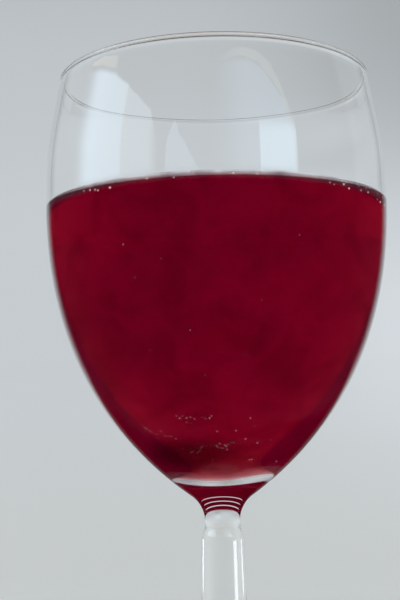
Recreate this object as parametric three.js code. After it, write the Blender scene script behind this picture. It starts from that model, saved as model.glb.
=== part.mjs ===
// A stemmed tulip glass filled two thirds with red wine. Millimetres, +Z up, standing on z = 0.
import * as THREE from 'three';

// Driving sizes of the glass.
const BELLY_DIA = 84;
const RIM_DIA = 77.2;
const BOWL_HEIGHT = 107.8;
const BELLY_RISE = 76.4;
const NECK_DIA = 8.5;
const NECK_HEIGHT = 80;
const FOOT_DIA = 72;
const FOOT_EDGE = 2.2;

// The wall, its rounded lip and the thick floor of the bowl.
const WALL = 1.2;
const LIP_WALL = 1.3;
const FLOOR_RISE = 11.7;

// The outside of the bowl leaves the neck on a round hollow and then swells to the belly.
const NECK_HOLLOW_RADIUS = 7.3;
const NECK_HOLLOW_DROP = 1.2;
const FLARE_ANGLE = THREE.MathUtils.degToRad(55);
const FLARE_PULL = 37.6;
const BELLY_PULL_DOWN = 18.2;
const BELLY_PULL_UP = 11;
const RIM_LEAN = THREE.MathUtils.degToRad(11.3);
const RIM_PULL = 15.7;

// The inside of the bowl rises from a round floor to the belly.
const FLOOR_PULL = 11;
const INSIDE_BELLY_PULL = 52.8;
const INSIDE_BELLY_RISE = 78;

// The stem thickens below the neck and goes on widening down to the foot.
const STEM_TOP_DIA = 10.16;
const STEM_TOP_DROP = 6.2;
const STEM_FOOT_DIA = 12.7;
const STEM_FOOT_HEIGHT = 20;
const FOOT_SLOPE_RISE = 1.6;
const FOOT_SLOPE_REACH = 15;

// The wine's level above the neck, and the clearance it keeps from the glass.
const LEVEL_RISE = 73.4;
const CLEARANCE = 0.3;

// Facets round the axis, and the spacing of the points along each curve.
const SEGMENTS = 64;
const POINT_SPACING = 7;
const LEAST_STEPS = 4;

const bellyRadius = BELLY_DIA / 2;
const rimRadius = RIM_DIA / 2;
const neckRadius = NECK_DIA / 2;
const rimHeight = NECK_HEIGHT + BOWL_HEIGHT;
const bellyHeight = NECK_HEIGHT + BELLY_RISE;
const floorHeight = NECK_HEIGHT + FLOOR_RISE;
const levelHeight = NECK_HEIGHT + LEVEL_RISE;

// A solid of revolution about the Z axis from an outline of radius against height.
function turned(name, outline, material) {
  const geometry = new THREE.LatheGeometry(outline, SEGMENTS);
  geometry.rotateX(Math.PI / 2);
  const mesh = new THREE.Mesh(geometry, material);
  mesh.name = name;
  return mesh;
}

// How many equal steps a curve is walked in: one for a straight line, more for a long curve.
function stepsAlong(curve) {
  if (curve.isLineCurve) {
    return 1;
  }
  return Math.max(LEAST_STEPS, Math.round(curve.getLength() / POINT_SPACING));
}

// The points of a whole outline, curve after curve.
function walked(path) {
  const points = [path.curves[0].getPoint(0)];
  for (const curve of path.curves) {
    const steps = stepsAlong(curve);
    for (let step = 1; step <= steps; step += 1) {
      points.push(curve.getPoint(step / steps));
    }
  }
  return points;
}

// The inside of the bowl from the middle of its floor up to the belly.
function insideCurve() {
  const radius = bellyRadius - WALL;
  const height = NECK_HEIGHT + INSIDE_BELLY_RISE;
  return new THREE.CubicBezierCurve(
    new THREE.Vector2(0, floorHeight),
    new THREE.Vector2(FLOOR_PULL, floorHeight),
    new THREE.Vector2(radius, height - INSIDE_BELLY_PULL),
    new THREE.Vector2(radius, height),
  );
}

// Foot and stem: a flat underside, a rounded edge, a shallow cone and a widening column.
function footAndStem(path) {
  const footRadius = FOOT_DIA / 2;
  const edgeRadius = FOOT_EDGE / 2;
  path.moveTo(0, 0);
  path.lineTo(footRadius - edgeRadius, 0);
  path.absarc(footRadius - edgeRadius, edgeRadius, edgeRadius, -Math.PI / 2, Math.PI / 2, false);
  path.bezierCurveTo(
    footRadius - FOOT_SLOPE_REACH, FOOT_EDGE + FOOT_SLOPE_RISE,
    STEM_FOOT_DIA / 2, FOOT_EDGE + FOOT_SLOPE_RISE,
    STEM_FOOT_DIA / 2, STEM_FOOT_HEIGHT,
  );
  path.lineTo(STEM_TOP_DIA / 2, NECK_HEIGHT - STEM_TOP_DROP);
}

// Outside of the bowl: the shoulder of the stem, the hollow of the neck, the belly and the rim.
function bowlOutside(path) {
  const neckStart = NECK_HEIGHT - NECK_HOLLOW_DROP;
  const shoulderMiddle = (neckStart + NECK_HEIGHT - STEM_TOP_DROP) / 2;
  path.bezierCurveTo(
    STEM_TOP_DIA / 2, shoulderMiddle,
    neckRadius, shoulderMiddle,
    neckRadius, neckStart,
  );
  path.absarc(
    neckRadius + NECK_HOLLOW_RADIUS, neckStart,
    NECK_HOLLOW_RADIUS, Math.PI, Math.PI - FLARE_ANGLE, true,
  );
  const flare = path.currentPoint.clone();
  path.bezierCurveTo(
    flare.x + FLARE_PULL * Math.sin(FLARE_ANGLE), flare.y + FLARE_PULL * Math.cos(FLARE_ANGLE),
    bellyRadius, bellyHeight - BELLY_PULL_DOWN,
    bellyRadius, bellyHeight,
  );
  const lip = LIP_WALL / 2;
  path.bezierCurveTo(
    bellyRadius, bellyHeight + BELLY_PULL_UP,
    rimRadius + RIM_PULL * Math.sin(RIM_LEAN), rimHeight - lip - RIM_PULL * Math.cos(RIM_LEAN),
    rimRadius, rimHeight - lip,
  );
  path.absarc(rimRadius - lip, rimHeight - lip, lip, 0, Math.PI, false);
}

// Inside of the bowl: down from the lip to the belly, then along the inside curve to the floor.
function bowlInside(path) {
  const inside = insideCurve();
  const start = path.currentPoint;
  path.bezierCurveTo(
    start.x + RIM_PULL * Math.sin(RIM_LEAN), start.y - RIM_PULL * Math.cos(RIM_LEAN),
    inside.v3.x, inside.v3.y + BELLY_PULL_UP,
    inside.v3.x, inside.v3.y,
  );
  path.bezierCurveTo(
    inside.v2.x, inside.v2.y,
    inside.v1.x, inside.v1.y,
    inside.v0.x, inside.v0.y,
  );
}

// One blown and pressed piece of clear glass: foot, stem and bowl.
function glass() {
  const path = new THREE.Path();
  footAndStem(path);
  bowlOutside(path);
  bowlInside(path);
  const clear = new THREE.MeshStandardMaterial({ color: '#e3ecec', roughness: 0.05, metalness: 0 });
  return turned('glass', walked(path), clear);
}

// How far along the inside curve the wine's edge lies, found by halving.
function levelParameter(curve) {
  let low = 0;
  let high = 1;
  for (let step = 0; step < 40; step += 1) {
    const middle = (low + high) / 2;
    if (curve.getPoint(middle).y < levelHeight) {
      low = middle;
    } else {
      high = middle;
    }
  }
  return low;
}

// A point of the inside curve moved into the bowl by the clearance.
function clearOfGlass(curve, at) {
  const along = curve.getTangent(at);
  const point = curve.getPoint(at);
  point.x = Math.max(0, point.x - CLEARANCE * along.y);
  point.y = Math.min(levelHeight, point.y + CLEARANCE * along.x);
  return point;
}

// The wine fills the bowl to its level, a clearance inside the glass.
function wine() {
  const inside = insideCurve();
  const steps = stepsAlong(inside);
  const top = levelParameter(inside);
  const outline = [];
  for (let step = 0; step / steps < top; step += 1) {
    outline.push(clearOfGlass(inside, step / steps));
  }
  outline.push(clearOfGlass(inside, top));
  outline.push(new THREE.Vector2(0, levelHeight));
  const red = new THREE.MeshStandardMaterial({ color: '#680420', roughness: 0.05, metalness: 0 });
  return turned('wine', outline, red);
}

const part = new THREE.Group();
part.name = 'glass_of_red_wine';
part.add(glass(), wine());

export default part;
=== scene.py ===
import bpy
import numpy as np
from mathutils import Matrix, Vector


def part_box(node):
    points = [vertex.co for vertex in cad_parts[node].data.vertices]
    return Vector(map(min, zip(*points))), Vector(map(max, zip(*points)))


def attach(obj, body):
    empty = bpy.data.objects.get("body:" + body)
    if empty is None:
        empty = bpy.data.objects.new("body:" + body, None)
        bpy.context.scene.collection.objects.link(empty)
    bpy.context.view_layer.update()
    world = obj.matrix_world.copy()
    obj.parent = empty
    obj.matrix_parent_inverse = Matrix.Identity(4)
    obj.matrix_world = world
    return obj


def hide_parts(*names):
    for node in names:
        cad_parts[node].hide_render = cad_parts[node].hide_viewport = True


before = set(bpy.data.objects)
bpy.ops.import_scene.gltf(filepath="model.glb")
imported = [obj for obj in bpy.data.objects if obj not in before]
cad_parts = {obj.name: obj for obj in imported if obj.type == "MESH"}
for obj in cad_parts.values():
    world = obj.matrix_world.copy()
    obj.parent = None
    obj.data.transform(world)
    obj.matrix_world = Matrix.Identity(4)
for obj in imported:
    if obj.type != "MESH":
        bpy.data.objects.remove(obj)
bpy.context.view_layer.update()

# The glass: foot, stem and bowl are one piece of clear soda-lime glass. The bowl is blown, the stem
# is drawn out below it and the foot pressed on, and the cut rim is melted to a round bead in a flame.
MM = 0.001
RIM_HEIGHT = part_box("glass")[1].z / MM
BELLY_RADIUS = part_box("glass")[1].x / MM
NECK_HEIGHT = RIM_HEIGHT - 107.8
BELLY_HEIGHT = NECK_HEIGHT + 76.4
BELLY_PULL_DOWN = 18.2
BELLY_PULL_UP = 11
RIM_RADIUS = 38.6
RIM_LEAN = np.radians(11.3)
RIM_PULL = 15.7
BEAD_RADIUS = 0.6
BEAD_NECK_DROP = 1.7
BEAD_NECK_HALF = 0.46
BEAD_OPENING = np.radians(40)
BEAD_PULL = 0.3
BEAD_SIDE_PULL = 0.25
WALL = 1.2
FLOOR_HEIGHT = NECK_HEIGHT + 11.7
FLOOR_PULL = 11
FLOOR_TILT = 0.06
FLOOR_TILT_REACH = 14
INSIDE_BELLY_HEIGHT = NECK_HEIGHT + 78
INSIDE_BELLY_PULL = 52.8
NECK_RADIUS = 4.25
NECK_START = NECK_HEIGHT - 1.2
NECK_HOLLOW = 7.3
FLARE_ANGLE = np.radians(55)
FLARE_PULL = 37.6
STEM_TOP_RADIUS = 5.08
STEM_TOP_HEIGHT = NECK_HEIGHT - 6.2
STEM_FOOT_RADIUS = 6.35
STEM_FOOT_HEIGHT = 20
FOOT_RADIUS = 36
FOOT_EDGE_RADIUS = 1.1
FOOT_SLOPE_REACH = 15
FOOT_SLOPE_RISE = 1.6
HOLLOW_ROWS = 110
BEAD_ROWS = 33
INSIDE_ROWS = 100


def cubic(start, start_pull, end_pull, end, steps):
    """Points of a cubic curve from start to end: the Bernstein blend of its ends and two pulls."""
    t = np.linspace(0, 1, steps)[:, None]
    ends = (1 - t) ** 3 * np.array(start) + t**3 * np.array(end)
    return ends + 3 * (1 - t) ** 2 * t * np.array(start_pull) + 3 * (1 - t) * t**2 * np.array(end_pull)


def arc(centre, radius, start, end, steps):
    """Points of a round arc: the centre plus the radius at equal steps of angle, in degrees."""
    angle = np.radians(np.linspace(start, end, steps))
    return np.array(centre) + radius * np.stack([np.cos(angle), np.sin(angle)], axis=1)


def eased(value, start, end):
    """The smooth step from 0 at start to 1 at end: 3 t t - 2 t t t."""
    t = np.clip((value - start) / (end - start), 0, 1)
    return t * t * (3 - 2 * t)


def joined(*stretches):
    """One outline from several stretches, each without its first point, which ends the one before."""
    return np.concatenate([stretches[0], *[stretch[1:] for stretch in stretches[1:]]])


def inside_wall(steps):
    """The inside of the bowl from the middle of its floor up to the belly, as one cubic curve."""
    radius = BELLY_RADIUS - WALL
    floor_pull = (FLOOR_PULL, FLOOR_HEIGHT)
    belly_pull = (radius, INSIDE_BELLY_HEIGHT - INSIDE_BELLY_PULL)
    return cubic((0, FLOOR_HEIGHT), floor_pull, belly_pull, (radius, INSIDE_BELLY_HEIGHT), steps)


def turned(name, outline, around, tilted_from, sharp_ring=-1):
    """A surface of revolution: every outline point (radius, height) carried round the Z axis, and
    its ends, which lie on the axis, closed with fans of triangles. From the ring tilted_from on, the
    height also gains the floor's tilt times x, which fades away as the square of the height left.
    The surface is smooth, but for a crease along the sharp ring, if there is one."""
    turn = np.linspace(0, 2 * np.pi, around, endpoint=False)
    x = outline[:, :1] * np.cos(turn)
    y = outline[:, :1] * np.sin(turn)
    height = np.repeat(outline[:, 1:], around, axis=1)
    fade = np.clip(1 - (height - FLOOR_HEIGHT) / FLOOR_TILT_REACH, 0, 1) ** 2
    fade[:tilted_from] = 0
    z = height + FLOOR_TILT * fade * x
    grid = np.stack([x, y, z], axis=2) * MM
    rings = grid[1:-1]
    here = np.arange(rings.shape[0] * around).reshape(-1, around)
    beside = np.roll(here, -1, axis=1)
    sides = np.stack([here[:-1], beside[:-1], beside[1:], here[1:]], axis=2).reshape(-1, 4)
    first = np.full(around, here.size)
    last = first + 1
    caps = [np.stack([first, beside[0], here[0]], axis=1), np.stack([last, here[-1], beside[-1]], axis=1)]
    points = np.concatenate([rings.reshape(-1, 3), grid[:1, 0], grid[-1:, 0]])
    mesh = bpy.data.meshes.new(name)
    mesh.from_pydata(points, [], [*sides.tolist(), *caps[0].tolist(), *caps[1].tolist()])
    mesh.shade_smooth()
    ends = np.empty(2 * len(mesh.edges), np.int32)
    mesh.edges.foreach_get("vertices", ends)
    crease = (ends.reshape(-1, 2) // around == sharp_ring - 1).all(axis=1)
    mesh.attributes.new("sharp_edge", "BOOLEAN", "EDGE").data.foreach_set("value", crease)
    piece = bpy.data.objects.new(name, mesh)
    bpy.context.scene.collection.objects.link(piece)
    return piece


def shade(hex_colour):
    """Linear red, green, blue and alpha of an sRGB hex colour, by the sRGB transfer curve."""
    srgb = np.array([int(hex_colour[i:i + 2], 16) for i in (1, 3, 5)]) / 255
    linear = np.where(srgb <= 0.04045, srgb / 12.92, ((srgb + 0.055) / 1.055) ** 2.4)
    return [*linear.tolist(), 1.0]


def add(tree, kind, settings=(), **links):
    """One shader node. Settings are its properties or its inputs, by name or by number, each with a
    value or with the output that feeds it. Links are inputs by name with the output that feeds them."""
    made = tree.nodes.new(kind)
    for name, value in dict(settings).items():
        if isinstance(value, bpy.types.NodeSocket):
            tree.links.new(value, made.inputs[name])
        elif isinstance(name, int) or name in made.inputs:
            made.inputs[name].default_value = value
        else:
            setattr(made, name, value)
    for name, socket in links.items():
        tree.links.new(socket, made.inputs[name.replace("_", " ")])
    return made


def new_material(name):
    """An empty node material and its output."""
    material = bpy.data.materials.new(name)
    material.use_nodes = True
    material.node_tree.nodes.clear()
    return material, material.node_tree, add(material.node_tree, "ShaderNodeOutputMaterial")


foot_flat = (FOOT_RADIUS - FOOT_EDGE_RADIUS, 0)
foot_top = (FOOT_RADIUS - FOOT_EDGE_RADIUS, 2 * FOOT_EDGE_RADIUS)
foot_slope_height = 2 * FOOT_EDGE_RADIUS + FOOT_SLOPE_RISE
stem_foot = (STEM_FOOT_RADIUS, STEM_FOOT_HEIGHT)
stem_top = (STEM_TOP_RADIUS, STEM_TOP_HEIGHT)
shoulder_height = (NECK_START + STEM_TOP_HEIGHT) / 2
neck = (NECK_RADIUS, NECK_START)
hollow_centre = (NECK_RADIUS + NECK_HOLLOW, NECK_START)
hollow = arc(hollow_centre, NECK_HOLLOW, 180, 180 - np.degrees(FLARE_ANGLE), HOLLOW_ROWS)
flare_pull = hollow[-1] + FLARE_PULL * np.array([np.sin(FLARE_ANGLE), np.cos(FLARE_ANGLE)])
belly = (BELLY_RADIUS, BELLY_HEIGHT)
inside_belly = (BELLY_RADIUS - WALL, INSIDE_BELLY_HEIGHT)
bead_centre = np.array([RIM_RADIUS - BEAD_RADIUS, RIM_HEIGHT - BEAD_RADIUS])
down_wall = np.array([np.sin(RIM_LEAN), -np.cos(RIM_LEAN)])
out_of_wall = np.array([np.cos(RIM_LEAN), np.sin(RIM_LEAN)])
bead_start = np.degrees(RIM_LEAN - BEAD_OPENING)
bead_end = np.degrees(RIM_LEAN + np.pi + BEAD_OPENING)
bead = arc(bead_centre, BEAD_RADIUS, bead_start, bead_end, BEAD_ROWS)
under_bead_outside = bead_centre + BEAD_NECK_DROP * down_wall + BEAD_NECK_HALF * out_of_wall
under_bead_inside = bead_centre + BEAD_NECK_DROP * down_wall - BEAD_NECK_HALF * out_of_wall
bead_pull = BEAD_PULL * BEAD_NECK_DROP * down_wall
outer_side = BEAD_OPENING - RIM_LEAN
inner_side = BEAD_OPENING + RIM_LEAN
side_pull = BEAD_SIDE_PULL * BEAD_NECK_DROP
bead_outer_pull = bead[0] - side_pull * np.array([np.sin(outer_side), np.cos(outer_side)])
bead_inner_pull = bead[-1] - side_pull * np.array([-np.sin(inner_side), np.cos(inner_side)])
foot_pull = (FOOT_RADIUS - FOOT_SLOPE_REACH, foot_slope_height)
stem_pull = (STEM_FOOT_RADIUS, foot_slope_height)
belly_low_pull = (BELLY_RADIUS, BELLY_HEIGHT - BELLY_PULL_DOWN)
belly_top_pull = (BELLY_RADIUS, BELLY_HEIGHT + BELLY_PULL_UP)
inside_belly_pull = (BELLY_RADIUS - WALL, INSIDE_BELLY_HEIGHT + BELLY_PULL_UP)
rim_pull = RIM_PULL * down_wall

# The outline runs from the middle of the underside over the foot, up the stem and the bowl, round the
# rim and down the inside to the middle of the floor. Each stretch ends with its count of points.
glass_outline = joined(
    np.linspace((0, 0), foot_flat, 12),
    arc((foot_flat[0], FOOT_EDGE_RADIUS), FOOT_EDGE_RADIUS, -90, 90, 13),
    cubic(foot_top, foot_pull, stem_pull, stem_foot, 30),
    np.linspace(stem_foot, stem_top, 16),
    cubic(stem_top, (STEM_TOP_RADIUS, shoulder_height), (NECK_RADIUS, shoulder_height), neck, 24),
    hollow,
    cubic(hollow[-1], flare_pull, belly_low_pull, belly, 70),
    cubic(belly, belly_top_pull, under_bead_outside + rim_pull, under_bead_outside, 30),
    cubic(under_bead_outside, under_bead_outside - bead_pull, bead_outer_pull, bead[0], 10),
    bead,
    cubic(bead[-1], bead_inner_pull, under_bead_inside - bead_pull, under_bead_inside, 10),
    cubic(under_bead_inside, under_bead_inside + rim_pull, inside_belly_pull, inside_belly, 30),
    inside_wall(INSIDE_ROWS)[::-1],
)
AROUND = 192
glass = turned("glass_blown", glass_outline, AROUND, tilted_from=len(glass_outline) - INSIDE_ROWS + 1)

# The flame has drawn the bead thinner round the back, so that its far side shows as a fainter line.
BACK_THINNING = 0.75
BACK_START = -0.35
BACK_END = 0.65
BEAD_REACH = 14
AXIS_REACH = 1
AXIS_GUARD = 1e-6
points = np.empty(3 * len(glass.data.vertices), np.float32)
glass.data.vertices.foreach_get("co", points)
points = points.reshape(-1, 3) / MM
radius = np.hypot(points[:, 0], points[:, 1])
back = eased(points[:, 1] / np.maximum(radius, AXIS_REACH), BACK_START, BACK_END)
thinner = 1 - BACK_THINNING * back * eased(points[:, 2], RIM_HEIGHT - BEAD_REACH, RIM_HEIGHT)
middle = bead_centre[0] + (bead_centre[1] - points[:, 2]) * np.tan(RIM_LEAN)
points[:, :2] *= ((middle + (radius - middle) * thinner) / np.maximum(radius, AXIS_GUARD))[:, None]
over = points[:, 2] > bead_centre[1]
points[over, 2] = bead_centre[1] + (points[over, 2] - bead_centre[1]) * thinner[over]

# Three fine raised lines, left where the stem was drawn out, arch over the front of the neck. Each has
# a height above the neck at the front, sinks to both sides and dies away before it reaches them.
LINE_HEIGHTS = (4.35, 3.35, 2.35)
LINE_SAG = 2.5
LINE_RAISE = (0.5, 0.34, 0.2)
LINE_HALF = 0.2
LINE_ENDS = (0.5, 0.7)
front = -points[:, 1] / np.maximum(radius, AXIS_GUARD)
line = np.array(LINE_HEIGHTS) - LINE_SAG * (1 - front[:, None])
raised = np.exp(-(((points[:, 2:] - NECK_HEIGHT - line) / LINE_HALF) ** 2)) @ np.array(LINE_RAISE)
raised *= np.clip((front - LINE_ENDS[0]) / (LINE_ENDS[1] - LINE_ENDS[0]), 0, 1)
points[:, :2] *= (1 + raised / np.maximum(radius, AXIS_REACH))[:, None]
glass.data.vertices.foreach_set("co", (points * MM).astype(np.float32).ravel())

# Soda-lime glass, blown and fire-polished: clear, with a slow ripple left by the blowing that bends
# its reflections a little, and a grey-green cast only where the light has gone far through it. Where
# wine wets the inside, light is only bent or wholly mirrored, as wine bends it almost as glass does.
# Below the wine's edge the dark bowl shows gloss at its grazing edges alone.
RIPPLE = 14 * MM
RIPPLE_DEPTH = 0.02 * MM
GLASS_IOR = 1.52
GLASS_DEPTH = 4.0
WHOLLY_MIRRORED = 0.9999
GRAZING_START = 0.25
GRAZING_END = 0.45
SHOULDER_CALM = 3.8
CONTACT_RISE = 76
WETTED_OVER_LEVEL = 1
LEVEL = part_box("wine")[1].z / MM
inside = np.arange(len(glass_outline)) > len(glass_outline) - INSIDE_ROWS
wetted = inside * (glass_outline[:, 1] < LEVEL + WETTED_OVER_LEVEL)
height = glass_outline[:, 1] - NECK_HEIGHT
underside = np.clip(CONTACT_RISE - height, 0, 1) * np.clip(height + SHOULDER_CALM, 0, 1)
for name, share in (("wetted", wetted), ("underside", underside * ~inside)):
    share = np.concatenate([np.repeat(share[1:-1], AROUND), share[[0, -1]]]).astype(np.float32)
    glass.data.attributes.new(name, "FLOAT", "POINT").data.foreach_set("value", share)
clear_glass, tree, output = new_material("soda_lime_glass")
place = add(tree, "ShaderNodeTexCoord")
ripple = add(
    tree,
    "ShaderNodeTexNoise",
    {"Scale": 1 / RIPPLE, "Detail": 1.0},
    Vector=place.outputs["Object"],
)
bent = add(
    tree,
    "ShaderNodeBump",
    {"Strength": 0.1, "Distance": RIPPLE_DEPTH},
    Height=ripple.outputs["Fac"],
)
wet = add(tree, "ShaderNodeAttribute", {"attribute_name": "wetted"})
below = add(tree, "ShaderNodeAttribute", {"attribute_name": "underside"})
mirrored = add(tree, "ShaderNodeFresnel", {"IOR": GLASS_IOR}, Normal=bent.outputs["Normal"])
passing = add(
    tree,
    "ShaderNodeMath",
    {"operation": "LESS_THAN", 0: mirrored.outputs["Fac"], 1: WHOLLY_MIRRORED},
)
steep = add(
    tree,
    "ShaderNodeMapRange",
    {"From Min": GRAZING_START, "From Max": GRAZING_END, "To Min": 1.0, "To Max": 0.0},
    Value=mirrored.outputs["Fac"],
)
calm_below = add(
    tree,
    "ShaderNodeMath",
    {"operation": "MULTIPLY", 0: steep.outputs["Result"], 1: below.outputs["Fac"]},
)
calm = add(
    tree,
    "ShaderNodeMath",
    {
        "operation": "MULTIPLY_ADD",
        0: passing.outputs["Value"],
        1: wet.outputs["Fac"],
        2: calm_below.outputs["Value"],
    },
)
glossy = add(
    tree,
    "ShaderNodeBsdfPrincipled",
    {"Base Color": shade("#ffffff"), "Roughness": 0.0, "IOR": GLASS_IOR, "Transmission Weight": 1.0},
    Normal=bent.outputs["Normal"],
)
bending = add(
    tree,
    "ShaderNodeBsdfRefraction",
    {"Roughness": 0.0, "IOR": GLASS_IOR},
    Normal=bent.outputs["Normal"],
)
mixed = add(
    tree,
    "ShaderNodeMixShader",
    {0: calm.outputs["Value"], 1: glossy.outputs["BSDF"], 2: bending.outputs["BSDF"]},
)
depth = add(tree, "ShaderNodeVolumeAbsorption", {"Color": shade("#b9d2c4"), "Density": GLASS_DEPTH})
tree.links.new(mixed.outputs["Shader"], output.inputs["Surface"])
tree.links.new(depth.outputs["Volume"], output.inputs["Volume"])
glass.data.materials.append(clear_glass)
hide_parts("glass")
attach(glass, "root")

# The wine: a clear dark red that fills the bowl to its level and wets the glass, so that its edge
# climbs the wall in a thin curved wedge. It reaches just into the wall, with no air between.
BITE = 0.12
BITE_FADE = 3.0
BITE_LEAST = 0.06
CAPILLARY = 1.7
CONTACT_SLOPE = np.radians(72)
LEVEL_SLOPE = np.radians(0.4)
WALL_SAMPLES = 1200
WALL_STRIDE = 10
EDGE_GAP = 0.05
EDGE_STEPS = 60
FLAT_STEPS = 12


def wetted_edge(wall_radius, steps):
    """The wine's surface from its contact with the wall to the middle, as radius and height. Its
    slope angle falls from the contact slope to almost level: the height above the flat surface is
    2 c sin(slope / 2), and the distance from the wall follows by the plane meniscus formula."""
    slope = np.geomspace(CONTACT_SLOPE, LEVEL_SLOPE, steps)
    height = 2 * CAPILLARY * np.sin(slope / 2)
    away = CAPILLARY * np.arccosh(2 * CAPILLARY / height) - np.sqrt(4 * CAPILLARY**2 - height**2)
    return np.stack([wall_radius - (away - away[0]), LEVEL + height], axis=1)


contact_height = LEVEL + 2 * CAPILLARY * np.sin(CONTACT_SLOPE / 2)
wall = inside_wall(WALL_SAMPLES)
along = np.gradient(wall, axis=0)
along /= np.linalg.norm(along, axis=1)[:, None]
bite = BITE * np.clip((contact_height - wall[:, 1:]) / BITE_FADE, BITE_LEAST, 1)
bitten = wall + bite * np.stack([along[:, 1], -along[:, 0]], axis=1)
bitten[0, 0] = 0
contact_radius = np.interp(contact_height, bitten[:, 1], bitten[:, 0])
under = bitten[bitten[:, 1] < contact_height - EDGE_GAP][::WALL_STRIDE]
edge = wetted_edge(contact_radius, EDGE_STEPS)
flat = np.linspace(edge[-1], (0, LEVEL), FLAT_STEPS)
wine_outline = np.concatenate([under, edge, flat[1:]])
wine = turned("wine_poured", wine_outline, AROUND, tilted_from=0, sharp_ring=len(under))

# Red wine: dark, it lets red through best and hardly any green or blue, so that a bowl's depth of it
# is crimson and its thin edge pink. A faint painted glow, in place of light that it scatters, keeps it
# red where no light comes straight through. Slow clouds make its red a little uneven, and a painted
# shade, a darker patch low in front, stands in for the dark seen through the bowl there.
CLOUD = 11 * MM
CLOUD_LOW = 0.36
CLOUD_HIGH = 0.64
# A painted shade: a soft darker patch in the wine's colour, low in front, in place of the dark seen through
# the bowl there.
PAINTED_SHADE_PATCH = (-6.5 * MM, -11 * MM, (NECK_HEIGHT + 16.2) * MM)
PAINTED_SHADE_PATCH_HALF = (18 * MM, 14 * MM, 5.5 * MM)
PAINTED_SHADE_PATCH_CORE = 0.25
WINE_IOR = 1.345
WINE_DEPTH = 150.0
# Strength of the painted glow that fills the wine, in place of light that it would scatter.
WINE_PAINTED_GLOW_STRENGTH = 3.3
red_wine, tree, output = new_material("red_wine")
place = add(tree, "ShaderNodeTexCoord")
cloud = add(
    tree,
    "ShaderNodeTexNoise",
    {"Scale": 1 / CLOUD, "Detail": 3.0, "Distortion": 0.6},
    Vector=place.outputs["Object"],
)
billow = add(
    tree,
    "ShaderNodeMapRange",
    {"From Min": CLOUD_LOW, "From Max": CLOUD_HIGH},
    Value=cloud.outputs["Fac"],
)
clouded = add(
    tree,
    "ShaderNodeMixRGB",
    {"Color1": shade("#c8bcc2"), "Color2": shade("#ffffff")},
    Fac=billow.outputs["Result"],
)
# Painted shade: the wine's colour is darkened in a soft patch low in front, standing in for the dark seen
# through the bowl.
from_painted_shade = add(
    tree,
    "ShaderNodeMapping",
    {"vector_type": "TEXTURE", "Location": PAINTED_SHADE_PATCH, "Scale": PAINTED_SHADE_PATCH_HALF},
    Vector=place.outputs["Object"],
)
away = add(tree, "ShaderNodeVectorMath", {"operation": "LENGTH"}, Vector=from_painted_shade.outputs["Vector"])
in_painted_shade = add(
    tree,
    "ShaderNodeMapRange",
    {"interpolation_type": "SMOOTHSTEP", "From Min": PAINTED_SHADE_PATCH_CORE, "To Min": 1.0, "To Max": 0.0},
    Value=away.outputs["Value"],
)
painted_shade = add(
    tree,
    "ShaderNodeMixRGB",
    {"Color2": shade("#64545c")},
    Fac=in_painted_shade.outputs["Result"],
    Color1=clouded.outputs["Color"],
)
surface = add(
    tree,
    "ShaderNodeBsdfPrincipled",
    {"Roughness": 0.0, "IOR": WINE_IOR, "Transmission Weight": 1.0, "Specular Tint": shade("#000000")},
    Base_Color=painted_shade.outputs["Color"],
)
depth = add(tree, "ShaderNodeVolumeAbsorption", {"Color": shade("#e70000"), "Density": WINE_DEPTH})
# A painted glow: the wine's volume shines faintly pink-red by itself, in place of light that it would
# scatter.
painted_glow = add(tree, "ShaderNodeEmission", {"Color": shade("#ff24c0"), "Strength": WINE_PAINTED_GLOW_STRENGTH})
both = add(tree, "ShaderNodeAddShader", {0: depth.outputs["Volume"], 1: painted_glow.outputs["Emission"]})
tree.links.new(surface.outputs["BSDF"], output.inputs["Surface"])
tree.links.new(both.outputs["Shader"], output.inputs["Volume"])
wine.data.materials.append(red_wine)
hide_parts("wine")
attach(wine, "root")

# The bubbles: air that pouring left, some in a broken row where the wine's edge meets the glass, others
# clinging to the inside of the wall. Each is given by its turn from the front, in degrees to the right,
# its height above the neck and its breadth, in millimetres.
EDGE_BUBBLES = (
    (-46.8, 74.2, 0.40), (-43.8, 74.0, 0.45), (-41.5, 73.8, 0.50), (-40.2, 73.5, 0.45), (-35.2, 73.6, 0.50),
    (38.6, 74.0, 0.50), (40.3, 73.7, 0.40), (44.8, 74.2, 0.50), (47.3, 73.5, 0.45), (53.9, 73.8, 0.45),
    (58.5, 73.9, 0.50), (66.0, 73.2, 0.50), (75.3, 73.1, 0.50), (69.3, 73.0, 0.50), (-21.7, 74.4, 0.40),
    (-16.7, 75.5, 0.35), (-12.9, 74.1, 0.35), (-7.3, 75.2, 0.35), (5.5, 74.6, 0.40), (12.9, 74.5, 0.40),
    (13.8, 74.9, 0.45), (96.0, 74.0, 0.50), (118.0, 73.8, 0.45), (141.0, 74.1, 0.45), (-88.0, 73.9, 0.50),
    (-121.0, 73.7, 0.40), (-149.0, 74.0, 0.45), (-170.0, 74.2, 0.45), (165.0, 73.8, 0.40),
)
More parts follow.
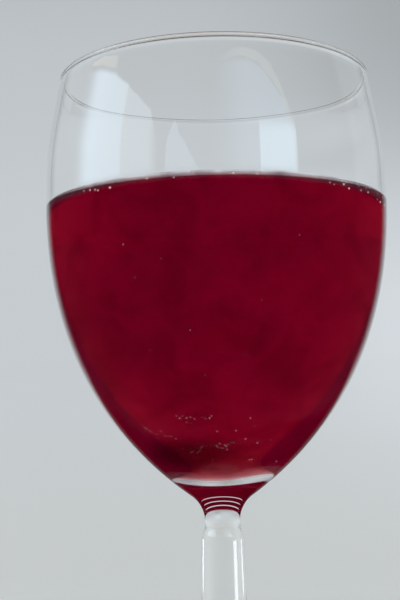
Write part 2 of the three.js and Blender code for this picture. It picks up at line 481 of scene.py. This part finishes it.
WALL_BUBBLES = (
    (-31.4, 60.6, 0.45), (-28.3, 53.2, 0.45), (-18.3, 56.7, 0.45), (27.1, 61.6, 0.30), (15.1, 47.4, 0.30),
    (-10.4, 41.2, 0.30), (10.3, 35.9, 0.30), (-27.5, 37.5, 0.30), (40.5, 41.7, 0.30), (-6.1, 31.8, 0.30),
    (-24.6, 23.7, 0.35), (-23.2, 23.2, 0.45), (-21.1, 23.6, 0.35), (-19.1, 23.2, 0.40), (-16.7, 23.3, 0.35),
    (-14.7, 22.9, 0.40), (-10.5, 23.2, 0.35), (-8.4, 22.9, 0.40), (-6.1, 23.0, 0.45), (-4.9, 23.4, 0.35),
    (-19.9, 22.3, 0.30), (-17.6, 22.1, 0.35), (-50.8, 21.8, 0.45), (-48.4, 21.1, 0.35), (-45.2, 20.4, 0.35),
    (-40.3, 20.9, 0.40), (-39.0, 19.9, 0.35), (-35.1, 19.8, 0.50), (-32.4, 19.2, 0.40), (-27.0, 16.5, 0.45),
    (-24.8, 16.6, 0.50), (-20.9, 16.4, 0.45), (-18.3, 16.7, 0.45), (-16.4, 17.2, 0.45), (-15.1, 17.4, 0.40),
    (-3.4, 17.5, 0.45), (-2.5, 17.2, 0.40), (-1.0, 17.9, 0.45), (0.0, 17.1, 0.50), (1.7, 17.0, 0.45),
    (3.1, 17.6, 0.45), (4.3, 17.4, 0.50), (5.0, 16.8, 0.45), (5.9, 17.8, 0.45), (7.8, 18.2, 0.45),
    (9.7, 18.1, 0.45), (-2.3, 20.3, 0.45), (9.7, 20.4, 0.35), (17.5, 18.8, 0.45), (28.0, 18.1, 0.50),
    (17.0, 22.9, 0.40), (20.8, 21.3, 0.40), (37.8, 18.7, 0.35), (67.3, 15.3, 0.50), (32.7, 15.1, 0.35),
    (30.1, 15.0, 0.35), (-8.9, 14.9, 0.40), (85.0, 22.0, 0.45), (104.0, 31.0, 0.40), (133.0, 18.0, 0.50),
    (158.0, 26.0, 0.40), (-172.0, 20.0, 0.50), (-141.0, 34.0, 0.40), (-117.0, 19.0, 0.45),
    (-93.0, 27.0, 0.40),
)
BUBBLE_SIDES = 8
BUBBLE_RINGS = 5
WALL_GAP = 0.02
PLACING_SAMPLES = 400


def bubbles(name, places):
    """Small balls against the inside of the wall. Each ball has rings of points at equal steps of
    latitude between two poles, is scaled by its breadth and is moved to its place on the wall."""
    turn, height, breadth = np.array(places).T
    turn = np.radians(turn)
    inside = inside_wall(PLACING_SAMPLES)
    out = np.interp(height + NECK_HEIGHT, inside[:, 1], inside[:, 0]) - breadth / 2 - WALL_GAP
    centres = np.stack([out * np.sin(turn), -out * np.cos(turn), height + NECK_HEIGHT], axis=1)
    latitude = np.linspace(-np.pi / 2, np.pi / 2, BUBBLE_RINGS + 2)[1:-1, None]
    longitude = np.linspace(0, 2 * np.pi, BUBBLE_SIDES, endpoint=False)[None, :]
    level = np.sin(latitude) + 0 * longitude
    ring = [np.cos(latitude) * np.cos(longitude), np.cos(latitude) * np.sin(longitude), level]
    ball = np.concatenate([np.stack(ring, axis=2).reshape(-1, 3), [[0, 0, -1], [0, 0, 1]]])
    points = (centres[:, None] + breadth[:, None, None] / 2 * ball) * MM
    here = np.arange(BUBBLE_RINGS * BUBBLE_SIDES).reshape(BUBBLE_RINGS, BUBBLE_SIDES)
    beside = np.roll(here, -1, axis=1)
    foot = np.full(BUBBLE_SIDES, here.size)
    quads = np.stack([here[:-1], beside[:-1], beside[1:], here[1:]], axis=2).reshape(-1, 4)
    fans = np.concatenate([
        np.stack([foot, beside[0], here[0]], axis=1),
        np.stack([foot + 1, here[-1], beside[-1]], axis=1),
    ])
    first = (np.arange(len(places)) * len(ball))[:, None, None]
    mesh = bpy.data.meshes.new(name)
    faces = [*(quads + first).reshape(-1, 4).tolist(), *(fans + first).reshape(-1, 3).tolist()]
    mesh.from_pydata(points.reshape(-1, 3), [], faces)
    mesh.shade_smooth()
    piece = bpy.data.objects.new(name, mesh)
    bpy.context.scene.collection.objects.link(piece)
    return piece


# The skin of a bubble: it mirrors most of what is around it, a little less in places, and has a painted
# glow, in place of the highlights that it would catch, so that it stands in the dark wine as a small
# silvery bead. At the wine's edge the painted glow is almost white and bright, deeper in the wine pink and
# fainter.
BLOTCH = 0.2 * MM
# Size and range of the painted glints: emission standing in for the highlights each bubble would catch.
PAINTED_GLINT = 2.5 * MM
PAINTED_GLINT_LOW = 0.4
PAINTED_GLINT_HIGH = 0.68
for name, places, painted_glow_hue, faintest, brightest in (
    ("bubbles_at_edge", EDGE_BUBBLES, "#fdf1ee", 0.15, 0.9),
    ("bubbles_on_wall", WALL_BUBBLES, "#e8a4ac", 0.02, 0.3),
):
    bubble_skin, tree, output = new_material("skin_of_" + name)
    place = add(tree, "ShaderNodeTexCoord")
    blotch = add(tree, "ShaderNodeTexNoise", {"Scale": 1 / BLOTCH}, Vector=place.outputs["Object"])
    silver = add(
        tree,
        "ShaderNodeMixRGB",
        {"Color1": shade("#b48890"), "Color2": shade("#e4c4c8")},
        Fac=blotch.outputs["Fac"],
    )
    spread = add(tree, "ShaderNodeTexNoise", {"Scale": 1 / PAINTED_GLINT}, Vector=place.outputs["Object"])
    # Painted highlight: the skin's emission, brighter at the wine's edge than down the wall, stands in for
    # caught light.
    painted_glint = add(
        tree,
        "ShaderNodeMapRange",
        {"From Min": PAINTED_GLINT_LOW, "From Max": PAINTED_GLINT_HIGH, "To Min": faintest, "To Max": brightest},
        Value=spread.outputs["Fac"],
    )
    surface = add(
        tree,
        "ShaderNodeBsdfPrincipled",
        {"Metallic": 0.85, "Roughness": 0.15, "Emission Color": shade(painted_glow_hue)},
        Base_Color=silver.outputs["Color"],
        Emission_Strength=painted_glint.outputs["Result"],
    )
    tree.links.new(surface.outputs["BSDF"], output.inputs["Surface"])
    bubble_skin.cycles.emission_sampling = "NONE"
    beads = bubbles(name, places)
    beads.data.materials.append(bubble_skin)
    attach(beads, "root")

# The stage: a round pale floor with a wall that curves up all about it to a ceiling and glows softly,
# as paper lit from behind. Only the part behind the glass shows in its gloss, so the wine stays clear.
FLOOR_RADIUS = 0.9
WALL_CURVE = 0.6
CEILING_HEIGHT = 2.6
BACKDROP_HALF_TURN = 35
STAGE_CENTRE = 0.15
UP = (-12, 0, 12, 16, 20, 28, 36, 42, 48, 56, 66, 90)
BEHIND_LIGHT = (0.55, 0.55, 0.55, 0.52, 0.50, 0.42, 0.37, 0.30, 0.18, 0.18, 0.26, 0.30)
ASIDE_LIGHT = (0.64, 0.60, 0.47, 0.47, 0.47, 0.49, 0.48, 0.46, 0.43, 0.40, 0.35, 0.30)
ROUND_LIGHT = (0.60, 0.58, 0.52, 0.52, 0.53, 0.54, 0.55, 0.54, 0.52, 0.45, 0.36, 0.30)
PAPER_LIT = 0.33
WALL_SHADE = 0.22
WALL_DARKENS = 0.25
TURN_STEPS = 145
FLOOR_ROWS = 20
CURVE_ROWS = 24
WALL_ROWS = 60
CEILING_ROWS = 20
BEHIND_FADE = (8, 36)
ASIDE_FADE = (55, 90)
WARM_FADE = (22, 36)
COOL_TINT = (1, 1.07, 1.13)
WARM_TINT = (1, 0.93, 0.75)
BRIGHT_SPOT = (0.26, 0.3)
BRIGHT_SPOT_HALF = (0.16, 0.18)
BRIGHT_SPOT_GAIN = 0.18
DIM_SPOT = (0.3, 0.72)
DIM_SPOT_HALF = (0.2, 0.22)
DIM_SPOT_LOSS = 0.25


def patch(name, x, y, z, glow):
    """A sheet over a grid of points, given as three arrays, with a face between each four, and the
    colour of its glow at each point."""
    points = np.stack(np.broadcast_arrays(x, y, z), axis=2)
    here = np.arange(points.shape[0] * points.shape[1]).reshape(points.shape[:2])
    faces = np.stack([here[:-1, :-1], here[:-1, 1:], here[1:, 1:], here[1:, :-1]], axis=2)
    mesh = bpy.data.meshes.new(name)
    mesh.from_pydata(points.reshape(-1, 3), [], faces.reshape(-1, 4).tolist())
    mesh.shade_smooth()
    colours = np.concatenate([glow, np.ones_like(glow[..., :1])], axis=2).astype(np.float32)
    mesh.attributes.new("glow", "FLOAT_COLOR", "POINT").data.foreach_set("color", colours.ravel())
    sheet = bpy.data.objects.new(name, mesh)
    bpy.context.scene.collection.objects.link(sheet)
    return sheet


def spot(x, z, centre, half):
    """A soft round spot: the bell curve exp(- u u - w w) of the distances across and up from its
    centre, each as a share of the spot's half breadth or height."""
    return np.exp(-(((x - centre[0]) / half[0]) ** 2) - ((z - centre[1]) / half[1]) ** 2)


def stage_part(name, profile, start, end):
    """A profile of radius and height carried round the Z axis from a start to an end angle, in degrees
    from straight behind the glass. Its glow is the brightness wanted in each direction, from tables
    over the elevation that fade into one another with the angle, with a bright and a dim spot behind
    the glass, less what the lit paper gives."""
    turn = np.radians(np.linspace(start, end, TURN_STEPS))
    x = profile[:, :1] * np.sin(turn)
    y = profile[:, :1] * np.cos(turn)
    z = np.repeat(profile[:, 1:], len(turn), axis=1)
    up = np.degrees(np.arctan2(z - STAGE_CENTRE, np.hypot(x, y)))
    aside = np.degrees(np.abs(np.arctan2(x, y)))
    past_behind = eased(aside, *BEHIND_FADE)
    past_aside = eased(aside, *ASIDE_FADE)
    wanted = np.interp(up, UP, BEHIND_LIGHT) * (1 - past_behind)
    wanted = wanted + np.interp(up, UP, ASIDE_LIGHT) * past_behind
    wanted = wanted * (1 - past_aside) + np.interp(up, UP, ROUND_LIGHT) * past_aside
    bright = spot(x, z, BRIGHT_SPOT, BRIGHT_SPOT_HALF) * (y > 0)
    dim = spot(x, z, DIM_SPOT, DIM_SPOT_HALF) * (y > 0)
    wanted = wanted * (1 + BRIGHT_SPOT_GAIN * bright - DIM_SPOT_LOSS * dim)
    lit = PAPER_LIT * (1 - (1 - WALL_SHADE) * eased(z, 0, WALL_DARKENS))
    warm = eased(up, *WARM_FADE)[..., None]
    tint = (1 - warm) * np.array(COOL_TINT) + warm * np.array(WARM_TINT)
    return patch(name, x, y, z, np.clip(wanted - lit, 0, 1)[..., None] * tint)


floor_profile = np.linspace((0, 0), (FLOOR_RADIUS, 0), FLOOR_ROWS)
wall_radius = FLOOR_RADIUS + WALL_CURVE
wall_profile = joined(
    arc((FLOOR_RADIUS, WALL_CURVE), WALL_CURVE, -90, 0, CURVE_ROWS),
    np.linspace((wall_radius, WALL_CURVE), (wall_radius, CEILING_HEIGHT), WALL_ROWS),
    np.linspace((wall_radius, CEILING_HEIGHT), (0, CEILING_HEIGHT), CEILING_ROWS),
)
stage_floor = stage_part("floor", floor_profile, -180, 180)
backdrop = stage_part("backdrop", wall_profile, -BACKDROP_HALF_TURN, BACKDROP_HALF_TURN)
surround = stage_part("surround", wall_profile, BACKDROP_HALF_TURN, 360 - BACKDROP_HALF_TURN)
stage_floor.visible_glossy = False
surround.visible_glossy = False

# Pale matt paper with a soft glow where the light comes through it, darker in itself up the wall.
pale_paper, tree, output = new_material("pale_paper")
place = add(tree, "ShaderNodeTexCoord")
where = add(tree, "ShaderNodeSeparateXYZ", Vector=place.outputs["Object"])
rise = add(
    tree,
    "ShaderNodeMapRange",
    {"interpolation_type": "SMOOTHSTEP", "From Min": 0.0, "From Max": WALL_DARKENS},
    Value=where.outputs["Z"],
)
colour = add(
    tree,
    "ShaderNodeMixRGB",
    {"Color1": shade("#dadde0"), "Color2": shade("#6d6f70")},
    Fac=rise.outputs["Result"],
)
glow = add(tree, "ShaderNodeAttribute", {"attribute_name": "glow"})
paper = add(
    tree,
    "ShaderNodeBsdfPrincipled",
    {"Roughness": 0.9, "Emission Strength": 1.0},
    Base_Color=colour.outputs["Color"],
    Emission_Color=glow.outputs["Color"],
)
tree.links.new(paper.outputs["BSDF"], output.inputs["Surface"])
pale_paper.cycles.emission_sampling = "NONE"
for sheet in (stage_floor, backdrop, surround):
    sheet.data.materials.append(pale_paper)

# Soft window lights on the camera's side, left and right, that only the gloss of the glass shows.
# Azimuth runs from the camera's direction to its right, elevation up from the bowl's middle.
LIGHT_DISTANCE = 1.2
LIGHT_GAP = 0.01
LIGHT_COLUMNS = 61
LIGHT_ROWS = 41
LIGHT_CENTRE = (BELLY_HEIGHT + 15) * MM
light_panel, tree, output = new_material("light_panel")
light_panel.cycles.emission_sampling = "NONE"
glow = add(tree, "ShaderNodeAttribute", {"attribute_name": "glow"})
lamp = add(tree, "ShaderNodeEmission", {"Strength": 1.0}, Color=glow.outputs["Color"])
clear = add(tree, "ShaderNodeBsdfTransparent")
both = add(tree, "ShaderNodeAddShader", {0: lamp.outputs["Emission"], 1: clear.outputs["BSDF"]})
tree.links.new(both.outputs["Shader"], output.inputs["Surface"])


def gloss_only(light):
    """Makes a sheet a glowing panel that reflections show and nothing else does."""
    light.data.materials.append(light_panel)
    light.visible_camera = False
    light.visible_diffuse = False
    light.visible_transmission = False


def soft_light(name, distance, azimuth, low, top, colour, strength, soft=(0.02, 0.02, 0.02, 0.02)):
    """A patch of a sphere round the bowl between a low and a top elevation, each given at the listed
    azimuths. Its strength fades over a share of its breadth or height at its left, right, low and
    top edges."""
    across = np.linspace(0, 1, LIGHT_COLUMNS)[None, :]
    rise = np.linspace(0, 1, LIGHT_ROWS)[:, None]
    turn = azimuth[0] + across * (azimuth[-1] - azimuth[0])
    lowest = np.interp(turn, azimuth, low)
    up = np.radians(lowest + rise * (np.interp(turn, azimuth, top) - lowest))
    turn = np.radians(turn)
    x = distance * np.cos(up) * np.sin(turn)
    y = -distance * np.cos(up) * np.cos(turn)
    z = LIGHT_CENTRE + distance * np.sin(up)
    sides = eased(across, 0, soft[0]) * eased(1 - across, 0, soft[1])
    fade = sides * eased(rise, 0, soft[2]) * eased(1 - rise, 0, soft[3])
    gloss_only(patch(name, x, y, z, strength * fade[..., None] * np.array(shade(colour)[:3])))


soft_light(
    "left_window",
    LIGHT_DISTANCE,
    (-108, -100, -93.4, -85, -77, -63.3),
    (10.5, 10.5, 10.5, 10.5, 10.5, 10.5),
    (30, 31.1, 32.1, 33, 33.6, 33.2),
    "#cfe8fa",
    4.8,
    soft=(0.45, 0.03, 0.02, 0.02),
)
soft_light(
    "left_window_side",
    LIGHT_DISTANCE,
    (-64.7, -54, -43.4, -39.8, -36),
    (10.5, 10.5, 10.5, 10.5, 10.5),
    (33.2, 31.2, 27.2, 20.2, 12),
    "#dcebf4",
    2.9,
    soft=(0.047, 0.3, 0.02, 0.02),
)
soft_light(
    "left_window_beige",
    LIGHT_DISTANCE - LIGHT_GAP,
    (-104, -92, -79, -76),
    (30.6, 32.2, 33.5, 33.7),
    (31.4, 35, 35.9, 35.3),
    "#f3e6c4",
    1.6,
    soft=(0.1, 0.1, 0.15, 0.15),
)
soft_light(
    "right_window",
    LIGHT_DISTANCE,
    (-3.5, 1, 5.6, 15.6, 27.2, 35.6, 41.9, 49.2, 51.5, 53),
    (10.2,) * 10,
    (35.7, 37.7, 38.5, 39, 38.6, 37.2, 34.6, 29.3, 21.5, 11),
    "#b9daf2",
    2.2,
    soft=(0.5, 0.02, 0.02, 0.02),
)
soft_light(
    "right_window_frame",
    LIGHT_DISTANCE - LIGHT_GAP,
    (-5.6, -1.9, 5.8, 16.2, 24.2, 34.1, 42.5, 48.1, 52.2, 54.6),
    (36, 37.5, 38.5, 39, 38.7, 37.5, 34.4, 30.2, 20, 10.2),
    (37.1, 38.4, 39.3, 39.9, 39.7, 38.9, 37.3, 34.3, 27.4, 16.7),
    "#e9e7d8",
    1.4,
    soft=(0.5, 0.05, 0.1, 0.1),
)
soft_light(
    "right_window_pane",
    LIGHT_DISTANCE - 2 * LIGHT_GAP,
    (28.2, 54.5),
    (9.8, 9.8),
    (23.4, 23.4),
    "#cfeaf8",
    4.0,
    soft=(0.05, 0.03, 0.02, 0.4),
)
soft_light(
    "middle_window",
    LIGHT_DISTANCE,
    (-32.4, -30.6, -25.8, -22.8, -16.3, -10),
    (10, 10, 10, 10, 10, 10),
    (12.2, 16.8, 23, 18.1, 14.2, 11.8),
    "#c4def0",
    2.2,
    soft=(0.02, 0.05, 0.02, 0.1),
)
soft_light(
    "left_side",
    LIGHT_DISTANCE + 2 * LIGHT_GAP,
    (-144, -98),
    (9, 9),
    (60, 60),
    "#e6eff4",
    0.55,
    soft=(0.3, 0.2, 0.02, 0.3),
)
soft_light(
    "right_side",
    LIGHT_DISTANCE + 2 * LIGHT_GAP,
    (98, 144),
    (9, 9),
    (60, 60),
    "#e6eff4",
    0.55,
    soft=(0.2, 0.3, 0.02, 0.3),
)
soft_light(
    "ceiling_glow",
    LIGHT_DISTANCE + 5 * LIGHT_GAP,
    (-180, 180),
    (43, 43),
    (89, 89),
    "#eef0f0",
    0.35,
    soft=(0.001, 0.001, 0.1, 0.02),
)

# Three low strips of light to the sides, which show only as the bright streaks down the stem.
STRIP_DISTANCE = 1.0
STRIP_LOW = 10 * MM
STRIP_TOP = 100 * MM
STRIP_SOFT = 0.25
STRIP_COLUMNS = 25
STRIP_ROWS = 12
for name, azimuth, strength in (
    ("stem_strip", (55, 80), 9.0),
    ("stem_strip_right", (113, 127), 5.0),
    ("stem_strip_left", (-144, -128), 4.0),
):
    across = np.linspace(0, 1, STRIP_COLUMNS)[None, :]
    turn = np.radians(azimuth[0] + across * (azimuth[1] - azimuth[0]))
    x = STRIP_DISTANCE * np.sin(turn)
    y = -STRIP_DISTANCE * np.cos(turn)
    z = np.linspace(STRIP_LOW, STRIP_TOP, STRIP_ROWS)[:, None]
    fade = eased(across, 0, STRIP_SOFT) * eased(1 - across, 0, STRIP_SOFT) + 0 * z
    gloss_only(patch(name, x, y, z, strength * fade[..., None] * np.array(shade("#f2f7fa")[:3])))

# The dim room round about, which only the gloss of the glass shows, and how the picture is developed.
ROOM = 0.22
scene = bpy.context.scene
scene.world = bpy.data.worlds.new("room")
scene.world.use_nodes = True
background = scene.world.node_tree.nodes["Background"]
background.inputs["Color"].default_value = shade("#f2f4f6")
background.inputs["Strength"].default_value = ROOM
scene.world.cycles_visibility.transmission = False
scene.view_settings.view_transform = "Standard"
scene.cycles.max_bounces = 32
scene.cycles.transmission_bounces = 32
scene.cycles.glossy_bounces = 16
scene.cycles.use_denoising = True

# The camera: low and close, a little under the wine's level, looking up at the bowl.
CAMERA_PLACE = np.array([0, -329.5, NECK_HEIGHT + 5.9]) * MM
PITCH = 0.1405
YAW = -0.0135
ROLL = -0.0185
FOCAL_PIXELS = 1352
FRAME_HEIGHT = 600
SENSOR_HEIGHT = 24
forward = np.array([np.sin(YAW) * np.cos(PITCH), np.cos(YAW) * np.cos(PITCH), np.sin(PITCH)])
level_right = np.array([np.cos(YAW), -np.sin(YAW), 0])
level_up = np.cross(level_right, forward)
right = np.cos(ROLL) * level_right + np.sin(ROLL) * level_up
upward = np.cross(right, forward)
pose = np.eye(4)
pose[:3] = np.stack([right, upward, -forward, CAMERA_PLACE], axis=1)
lens = bpy.data.cameras.new("camera")
lens.sensor_fit = "VERTICAL"
lens.sensor_height = SENSOR_HEIGHT
lens.lens = FOCAL_PIXELS / FRAME_HEIGHT * SENSOR_HEIGHT
lens.clip_start = 0.01
camera = bpy.data.objects.new("camera", lens)
camera.matrix_world = pose.T.tolist()
bpy.context.scene.collection.objects.link(camera)
scene.camera = camera
